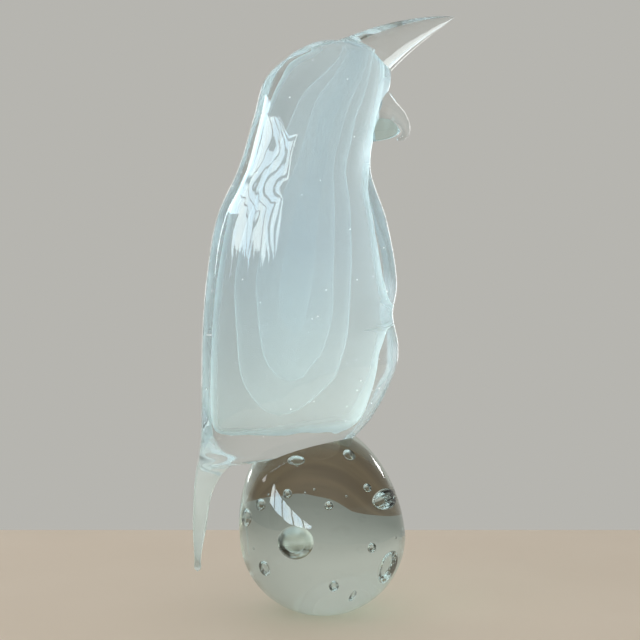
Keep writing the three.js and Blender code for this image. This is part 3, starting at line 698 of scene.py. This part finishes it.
outer_form = Edges([
    outer_row(at["lower_belly"] - 0.05, 24, 24, 20, 0.4),
    outer_row(at["lower_belly"] + 0.07, 16.5, 23, 13, 0.4),
    outer_row(at["lower_belly"] + 0.3, 14.7, 22, 11.7, 0.24),
    outer_row(at["belly"], 15, 21, 11.9),
    outer_row(at["full_belly"], 14.7, 17.9),
    outer_row(at["full_belly"] + 0.4, 14.7, 14.3),
    outer_row(at["waist"] - 0.4, 14.9, 8),
    outer_row(at["waist"] + 0.3, 15.3, 8.8),
    outer_row(at["waist"] + 0.55, 15.1, 12.9),
    outer_row(at["breast"], 15.1, 17),
    outer_row(at["shoulder"], 16, 17, 11.7),
    outer_row(at["shoulder"] + 0.5, 16.5, 15, 12),
    outer_row(at["neck"], 15.9, 10.3, 11.8),
    outer_row(at["cheek"], 14.4, 10.3, 10.8),
    outer_row(at["brow"], 17.9, 11.6, 10),
    outer_row(at["crown"] - 0.3, 21.8, 9.3, 8.4),
    *neck_rows(9, 3),
])
second_form = Edges([
    inner_row(at["lower_belly"] + 0.39, 0.44, 0.44),
    inner_row(at["lower_belly"] + 0.47, 0.375, 0.525),
    inner_row(at["lower_belly"] + 0.64, 0.32, 0.59),
    inner_row(at["belly"], 0.26, 0.655),
    inner_row(at["full_belly"], 0.237, 0.694),
    inner_row(at["waist"], 0.233, 0.722),
    inner_row(at["breast"], 0.216, 0.714),
    inner_row(at["shoulder"], 0.255, 0.733),
    inner_row(at["neck"], 0.316, 0.729),
    inner_row(at["cheek"], 0.362, 0.73),
    inner_row(at["cheek"] + 0.5, 0.386, 0.74),
    *neck_rows(6.6, 13),
])
third_form = Edges([
    inner_row(at["belly"] - 0.08, 0.46, 0.46),
    inner_row(at["belly"] - 0.01, 0.417, 0.514),
    inner_row(at["belly"] + 0.21, 0.382, 0.54),
    inner_row(at["belly"] + 0.62, 0.354, 0.585),
    inner_row(at["full_belly"] + 0.3, 0.337, 0.616),
    inner_row(at["waist"], 0.331, 0.643),
    inner_row(at["breast"], 0.303, 0.633),
    inner_row(at["shoulder"], 0.364, 0.654),
    inner_row(at["neck"], 0.458, 0.664),
    inner_row(at["cheek"], 0.468, 0.664),
    inner_row(at["cheek"] + 0.5, 0.49, 0.678),
    *neck_rows(4.4, 13),
])
heart_form = Edges([
    inner_row(at["full_belly"] + 0.28, 0.48, 0.48),
    inner_row(at["full_belly"] + 0.65, 0.44, 0.522),
    inner_row(at["waist"], 0.416, 0.536),
    inner_row(at["breast"], 0.406, 0.546),
    inner_row(at["shoulder"], 0.465, 0.574),
    inner_row(at["neck"], 0.528, 0.621),
    inner_row(at["cheek"], 0.53, 0.606),
    *neck_rows(2.4, 13),
])

# Node, form, rings and sides, then shade, edge colour, clearest and milkiest share, edge, clouds
for node, name, form, rings, sides, finish in (
    ("opal_outer_gather", "opal_outer", outer_form, 160, 80,
     (1.0, (0.86, 0.98, 1.00), 0.28, 0.96, 0.42, 0.10)),
    ("opal_second_gather", "opal_second", second_form, 130, 64,
     (1.02, (0.76, 0.88, 0.90), 0.12, 0.38, 0.45, 0.06)),
    ("opal_third_gather", "opal_third", third_form, 110, 64,
     (1.05, (0.76, 0.88, 0.90), 0.14, 0.38, 0.45, 0.06)),
    ("opal_heart", "opal_heart", heart_form, 100, 48,
     (1.03, (0.76, 0.88, 0.92), 0.10, 0.38, 0.55, 0.06)),
):
    gather = make_piece(f"{name}_gather_glass", *loft(form, rings, sides), BIRD_Z, [opal(name, *finish)])
    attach(gather, "root")
    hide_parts(node)
    for collection in (in_bird, in_rim, figurine):
        collection.objects.link(gather)


# ---- Crest: a bit of clear glass laid hot over the mouth of the necks, then pulled forwards
# and up with pincers to a thin point.

CREST_LENGTH, CREST_TIP_LIFT, CREST_BOW = 55, 17.5, 4.5
CREST_DEPTH, CREST_WIDTH = 31, 27
CREST_ROOT_FORWARD, CREST_ROOT_DROP = 6.4, 3.6
CREST_ROOT_SLOPE, CREST_TIP_SLOPE = -42, -60

crest_root = np.array([mouth[0] + CREST_ROOT_FORWARD, mouth[2] - CREST_ROOT_DROP])
crest_tip = np.array([mouth[0] + CREST_LENGTH, mouth[2] + CREST_TIP_LIFT])
crest_bow = crest_root + (crest_tip - crest_root) * 0.45 + (0, CREST_BOW)


def crest_row(share):
    """A row across the crest, from its root at 0 to its tip at 1. Below 0 it runs into the head."""
    t = max(share, 0)
    middle = (1 - t) ** 2 * crest_root + 2 * t * (1 - t) * crest_bow + t * t * crest_tip
    start = (crest_bow - crest_root) / np.linalg.norm(crest_bow - crest_root)
    middle = middle + start * np.linalg.norm(crest_tip - crest_root) * min(share, 0)
    slope = math.radians(CREST_ROOT_SLOPE + (CREST_TIP_SLOPE - CREST_ROOT_SLOPE) * t)
    reach = np.array([math.cos(slope), math.sin(slope)]) * CREST_DEPTH * (1 - share) ** 0.85 / 2
    half = CREST_WIDTH * (1 - share) ** 0.9 / 2
    return [(x, half, z) for x, z in (middle - reach, middle + reach)]


def crest_painted_top_shade(n, place):
    """The crest's upward faces are a soft grey, a painted shade."""
    skyward = n.make("ShaderNodeNewGeometry", output="Normal")
    skyward = n.make("ShaderNodeSeparateXYZ", {}, [skyward], output=2)
    return ((n.make("ShaderNodeMapRange", SMOOTH, [skyward, 0.45, 0.85, 0.0, 0.4]), (0.36, 0.39, 0.37, 1)),)


crest_form = Edges([crest_row(share) for share in (-0.2, 0, 0.2, 0.4, 0.6, 0.78, 0.91, 1)])
crest_clear = glass("crest_clear", (0.97, 0.985, 0.975), (0.90, 0.95, 0.93), 0.12, 0.02, crest_painted_top_shade)
crest = make_piece("crest_glass", *loft(crest_form, 120, 64, 0.3), BIRD_Z, [crest_clear, fused])
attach(crest, "root")
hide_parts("crest")
for collection in (in_bird, in_rim, in_crest, figurine):
    collection.objects.link(crest)


# ---- Beak: a bit of clear glass laid hot on the face and pulled into a hook with pincers, and a
# small sea green bit tucked under it.

BEAK_REACH, BEAK_DROP, BEAK_WIDTH = 12.8, 28, 19
LOWER_BEAK_DROP, LOWER_BEAK_REACH, LOWER_BEAK_DEPTH, LOWER_BEAK_WIDTH = 14.8, 7.5, 11.4, 15

face = casing_form.at(at["cheek"] + 0.65)[1]


def beak_row(top, bottom, width):
    """A row across the upper beak, its points counted in reaches forwards and drops downwards."""
    half = BEAK_WIDTH * width / 2
    return [(face[0] + BEAK_REACH * x, half, face[2] - BEAK_DROP * z) for x, z in (top, bottom)]


def lower_beak_row(reach, top, bottom, width):
    """An upright row across the lower beak, its top and bottom counted in depths."""
    half = LOWER_BEAK_WIDTH * width / 2
    x, z = face[0] + LOWER_BEAK_REACH * reach, face[2] - LOWER_BEAK_DROP
    return [(x, half, z - LOWER_BEAK_DEPTH * share) for share in (top, bottom)]


clear_glass = glass("clear_glass", (0.96, 0.985, 0.975), (0.90, 0.96, 0.94), 0.7)
upper_beak_form = Edges([
    beak_row((-0.56, 0), (-0.64, 0.48), 1.05),
    beak_row((0.02, -0.02), (-0.16, 0.55), 1),
    beak_row((0.4, 0.19), (0.19, 0.57), 0.84),
    beak_row((0.77, 0.39), (0.45, 0.65), 0.66),
    beak_row((1, 0.64), (0.61, 0.75), 0.47),
    beak_row((0.98, 0.85), (0.66, 0.83), 0.32),
    beak_row((0.75, 0.97), (0.6, 0.88), 0.21),
    beak_row((0.49, 0.99), (0.48, 0.92), 0.13),
    beak_row((0.38, 0.96), (0.38, 0.96), 0),
])
upper_beak = make_piece("upper_beak_glass", *loft(upper_beak_form, 90, 48), BIRD_Z, [clear_glass, fused])
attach(upper_beak, "root")
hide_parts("upper_beak")

green_glass = glass("green_glass", (0.78, 0.94, 0.91), (0.60, 0.84, 0.80), 0.1)
lower_beak_form = Edges([
    lower_beak_row(-1.2, 0.1, 1.2, 1),
    lower_beak_row(-0.55, 0, 1.13, 1),
    lower_beak_row(0.1, 0.05, 1.03, 0.87),
    lower_beak_row(0.6, 0.27, 0.9, 0.66),
    lower_beak_row(0.87, 0.5, 0.78, 0.4),
    lower_beak_row(1, 0.66, 0.66, 0),
])
lower_beak = make_piece("lower_beak_glass", *loft(lower_beak_form, 60, 40), BIRD_Z, [green_glass, fused])
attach(lower_beak, "root")
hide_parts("lower_beak")

for collection in (in_bird, in_rim, in_beak, figurine):
    collection.objects.link(upper_beak)
    collection.objects.link(lower_beak)


# ---- Ball: a gather pricked with a spiked tool, then covered by a second one, so that every
# prick traps a bubble, and ground flat at the foot. Both gathers are one clear mass here, green
# where the light comes edge-on.

DOME_RISE, DOME_LEAN = 67, -5.9
DOME_ROWS = 64


def dome_row(turn):
    """A row of the ball, sagged below its widest line, drawn up and leaning back above it."""
    z = -math.cos(turn) * (BALL_SAG * BALL_DIAMETER / 2 if turn < math.pi / 2 else DOME_RISE)
    wide = BALL_DIAMETER * math.sin(turn)
    return section(wide / 2 - DOME_LEAN * max(z, 0) / DOME_RISE, z, wide, wide)


foot_turn = math.asin(FOOT_DIAMETER / BALL_DIAMETER)
ball_form = Edges([
    dome_row(foot_turn + (math.pi - foot_turn) * k / DOME_ROWS) for k in range(DOME_ROWS + 1)
])
ball_glass = glass("ball_glass", (0.865, 0.95, 0.885), (0.46, 0.60, 0.49), 0.2)
ball = make_piece("ball_glass_mass", *loft(ball_form, 96, 128), BALL_CENTRE, [ball_glass, fused])
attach(ball, "root")
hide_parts("ball_pricked_gather", "ball_outer_gather")
for collection in (in_ball, figurine):
    collection.objects.link(ball)


# ---- Bubbles: the air that each prick trapped between the ball's two gathers, from an egg at
# the front down to specks. They have no skin of their own, so the glass round them shines, and
# the biggest also carries a painted reflection of the room.

GLASS_OVER_PRICKS = 8
SPECK = 1.4

# azimuth, elevation, width, depth, height over width
bubbles = (
    (-112, 3, 19, 21, 0.93), (-24, 22, 25, 13, 0.46), (-28, -20, 15, 13, 1.2), (-163, 12, 10, 9, 1),
    (-143.5, 21, 6.5, 7, 1), (-117, 29, 5, 6, 1), (-82, 23, 4.8, 6, 1), (-51, -1, 5, 6, 1.05),
    (-80.5, -31, 5.4, 7, 1.2), (-141, -19, 7.6, 8, 1.1), (-113, 50, 9.7, 5, 0.62),
    (-45, 52.5, 7.2, 6, 1), (-42.5, 30.5, 5, 5, 1), (-59, -43, 3.4, 4, 2.4), (-22, -16, 5.5, 5, 0.9),
)
specks = ((-136, 27), (-101, 30), (-66, 27.5), (-93, 32), (-151, -5), (-111, 46.5), (-22, 1))


def bubble_place(azimuth, elevation, width, depth, tall):
    """Where a bubble sits in the ball, how it is turned, and its depth, width and height."""
    turn, lift = math.radians(azimuth), math.radians(elevation)
    under = max(GLASS_OVER_PRICKS, depth / 2 + 1)
    radius = BALL_DIAMETER / 2 - under
    upright = (DOME_RISE if lift > 0 else BALL_SAG * BALL_DIAMETER / 2) - under
    centre = Vector((math.cos(turn) * radius, math.sin(turn) * radius, 0)) * math.cos(lift)
    centre.z = math.sin(lift) * upright
    centre.x += DOME_LEAN * max(centre.z, 0) / DOME_RISE
    centre.z += BALL_CENTRE
    return centre / 1000, (0, -lift, turn), Vector((depth, width, width * tall)) / 1000


def grown(name, base, tree, **inputs):
    """The plain mesh that a Geometry Nodes tree makes on a base mesh, as an object."""
    holder = bpy.data.objects.new(name + "_base", base)
    scene.collection.objects.link(holder)
    modifier = holder.modifiers.new(name, "NODES")
    modifier.node_group = tree
    for item in tree.interface.items_tree:
        if item.in_out == "INPUT" and item.name in inputs:
            modifier[item.identifier] = inputs[item.name]
    bpy.context.view_layer.update()
    graph = bpy.context.evaluated_depsgraph_get()
    mesh = bpy.data.meshes.new_from_object(holder.evaluated_get(graph))
    mesh.materials.clear()
    mesh.materials.append(inputs["Skin"])
    mesh.polygons.foreach_set("material_index", [0] * len(mesh.polygons))
    made = bpy.data.objects.new(name, mesh)
    scene.collection.objects.link(made)
    holder.modifiers.clear()
    bpy.data.objects.remove(holder)
    return made


def growing_tree(name, **sockets):
    """A Geometry Nodes tree with the named inputs beside its geometry."""
    tree = bpy.data.node_groups.new(name, "GeometryNodeTree")
    tree.interface.new_socket("Geometry", in_out="OUTPUT", socket_type="NodeSocketGeometry")
    for label, kind in {"Geometry": "Geometry", **sockets}.items():
        tree.interface.new_socket(label, in_out="INPUT", socket_type=f"NodeSocket{kind}")
    return tree, Nodes(tree)


def given(n, label):
    """The tree's own input of that name."""
    return n.make("NodeGroupInput", output=label)


def finished(n, instances):
    """Ends a tree: makes the instances real and gives them their material."""
    real = n.make("GeometryNodeRealizeInstances", {}, [instances])
    smooth = n.make("GeometryNodeSetShadeSmooth", {}, {"Geometry": real, "Shade Smooth": True})
    n.make("NodeGroupOutput", {}, [
        n.make("GeometryNodeSetMaterial", {}, {"Geometry": smooth, "Material": given(n, "Skin")}),
    ])


trapped_air = bpy.data.materials.new("trapped_air")
trapped_air.use_nodes = True
n = Nodes(trapped_air.node_tree)
wall_of_air = n.make("ShaderNodeBsdfGlass", {}, {
    "Color": (0.98, 0.987, 0.98, 1), "Roughness": 0.0, "IOR": 1 / 1.5,
})
# Painted reflection on the biggest bubble: light above and a dark olive crescent below, as its walls would
# mirror the room
size = n.make("ShaderNodeAttribute", {"attribute_name": "sized"}, output="Vector")
depth = n.make("ShaderNodeSeparateXYZ", {}, [size], output=0)
biggest = n.make("ShaderNodeMapRange", {}, [depth, 0.017, 0.019, 0.0, 0.45])
outward = n.make("ShaderNodeNewGeometry", output="Normal")
skyward = n.make("ShaderNodeSeparateXYZ", {}, [outward], output=2)
level = n.make("ShaderNodeMapRange", {}, [skyward, -1.0, 1.0])
stops = (
    (0.16, (0.42, 0.40, 0.30)), (0.28, (0.07, 0.06, 0.03)),
    (0.40, (0.34, 0.35, 0.31)), (0.60, (0.62, 0.66, 0.63)),
)
shine = n.make("ShaderNodeValToRGB", {"stops": stops}, [level])
painted_room_reflection = n.make("ShaderNodeBsdfPrincipled", {}, {"Base Color": shine, "Roughness": 0.12})
wall_of_air = n.make("ShaderNodeMixShader", {}, [biggest, wall_of_air, painted_room_reflection])
open_to_light = n.make("ShaderNodeBsdfTransparent", {}, [(1, 1, 1, 1)])
lamp_ray = n.make("ShaderNodeLightPath", output="Is Shadow Ray")
whole = n.make("ShaderNodeMixShader", {}, [lamp_ray, wall_of_air, open_to_light])
n.make("ShaderNodeOutputMaterial", {}, [whole])

placed_bubbles, n = growing_tree("placed_bubbles", Segments="Int", Skin="Material")
sphere = n.make("GeometryNodeMeshUVSphere", {}, {
    "Segments": given(n, "Segments"), "Rings": given(n, "Segments") * 0.5, "Radius": 0.5,
})
turned = n.make("GeometryNodeInputNamedAttribute", {"data_type": "FLOAT_VECTOR"}, {"Name": "turned"})
sized = n.make("GeometryNodeInputNamedAttribute", {"data_type": "FLOAT_VECTOR"}, {"Name": "sized"})
finished(n, n.make("GeometryNodeInstanceOnPoints", {}, {
    "Points": given(n, "Geometry"),
    "Instance": sphere,
    "Rotation": n.make("FunctionNodeEulerToRotation", {}, [turned]),
    "Scale": sized,
}))

spots = [bubble_place(*bubble) for bubble in bubbles]
spots += [bubble_place(azimuth, elevation, SPECK, SPECK, 1) for azimuth, elevation in specks]
base = bpy.data.meshes.new("bubble_spots")
base.from_pydata([centre for centre, turned, sized in spots], [], [])
for label, values in (("turned", [spot[1] for spot in spots]), ("sized", [spot[2] for spot in spots])):
    base.attributes.new(label, "FLOAT_VECTOR", "POINT").data.foreach_set("vector", np.ravel(values))
ball_bubbles = grown("ball_bubbles_air", base, placed_bubbles, Segments=40, Skin=trapped_air)
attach(ball_bubbles, "root")
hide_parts("ball_pricked_gather")
figurine.objects.link(ball_bubbles)


# ---- Seeds: the tiny bubbles that any hot glass holds, here strewn through the clear casing just
# over the opal. Each is a painted glint, a speck that glows by itself, too small to show what it bends.

seeds_painted_glint = bpy.data.materials.new("seeds_painted_glint")
seeds_painted_glint.use_nodes = True
n = Nodes(seeds_painted_glint.node_tree)
# Painted glint: brightest face on, a little greyer at the rim
rim = n.make("ShaderNodeLayerWeight", {}, {"Blend": 0.5}, output="Facing")
shine = n.mix(rim, (0.95, 0.98, 0.98, 1), (0.70, 0.76, 0.76, 1))
n.make("ShaderNodeOutputMaterial", {}, [n.make("ShaderNodeEmission", {}, [shine, 1.0])])
seeds_painted_glint.cycles.emission_sampling = "NONE"

strewn_seeds, n = growing_tree(
    "strewn_seeds", Density="Float", Seed="Int", Nearest="Float", Deepest="Float",
    Smallest="Float", Largest="Float", Skin="Material",
)
scatter = {"Mesh": given(n, "Geometry"), "Density": given(n, "Density"), "Seed": given(n, "Seed")}
points = n.make("GeometryNodeDistributePointsOnFaces", {}, scatter)
outward = Val(n, points.socket.node.outputs["Normal"])


def picked(low, high):
    """A number of its own for each seed, between the two inputs of those names."""
    span = {2: given(n, low), 3: given(n, high), 8: given(n, "Seed")}
    return n.make("FunctionNodeRandomValue", {}, span, output=1)


above = picked("Nearest", "Deepest")
off = n.make("ShaderNodeVectorMath", {"operation": "SCALE"}, {"Vector": outward, "Scale": above})
finished(n, n.make("GeometryNodeInstanceOnPoints", {}, {
    "Points": n.make("GeometryNodeSetPosition", {}, {"Geometry": points, "Offset": off}),
    "Instance": n.make("GeometryNodeMeshIcoSphere", {}, {"Radius": 0.5, "Subdivisions": 2}),
    "Scale": picked("Smallest", "Largest"),
}))
seeds = grown(
    "casing_seeds_air", bpy.data.objects["opal_outer_gather_glass"].data.copy(), strewn_seeds,
    Density=1200.0, Seed=7, Nearest=0.0006, Deepest=0.004, Smallest=0.0004, Largest=0.0009,
    Skin=seeds_painted_glint,
)
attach(seeds, "root")
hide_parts("clear_casing")
figurine.objects.link(seeds)


# ---- Joints: the clear pieces were fused while soft, so each one is cut out of its neighbours
# and they meet face to face. The cut faces are seams, which light passes as if nothing were there.

SHARP_EDGE = math.radians(32)


def carve(piece, *tools):
    """Cuts the tools' shapes out of the piece, which leaves fused seams."""
    for tool in tools:
        cutter = tool.copy()
        cutter.data = tool.data.copy()
        cutter.data.materials.clear()
        cutter.data.materials.append(fused)
        for face in cutter.data.polygons:
            face.material_index = 0
        scene.collection.objects.link(cutter)
        cut = piece.modifiers.new("cut", "BOOLEAN")
        cut.operation = "DIFFERENCE"
        cut.solver = "EXACT"
        cut.material_mode = "TRANSFER"
        cut.object = cutter
        bpy.context.view_layer.update()
        graph = bpy.context.evaluated_depsgraph_get()
        done = bpy.data.meshes.new_from_object(piece.evaluated_get(graph))
        piece.modifiers.clear()
        old = piece.data
        piece.data = done
        bpy.data.meshes.remove(old)
        bpy.data.objects.remove(cutter)


whole = {}
for piece in (casing, crest, upper_beak, lower_beak, ball):
    whole[piece] = piece.copy()
    whole[piece].data = piece.data.copy()
carve(casing, whole[ball], whole[crest], whole[upper_beak], whole[lower_beak])
carve(ball, whole[casing])
carve(crest, whole[casing])
carve(upper_beak, whole[casing], whole[lower_beak])
carve(lower_beak, whole[casing], whole[upper_beak])
for copy in whole.values():
    bpy.data.objects.remove(copy)

for piece in (casing, crest, upper_beak, lower_beak, ball, ball_bubbles, seeds):
    shape = bmesh.new()
    shape.from_mesh(piece.data)
    for edge in shape.edges:
        skins = {face.material_index for face in edge.link_faces}
        closed = len(edge.link_faces) == 2
        edge.smooth = closed and len(skins) == 1 and edge.calc_face_angle(0) <= SHARP_EDGE
    shape.to_mesh(piece.data)
    shape.free()

low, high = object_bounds()
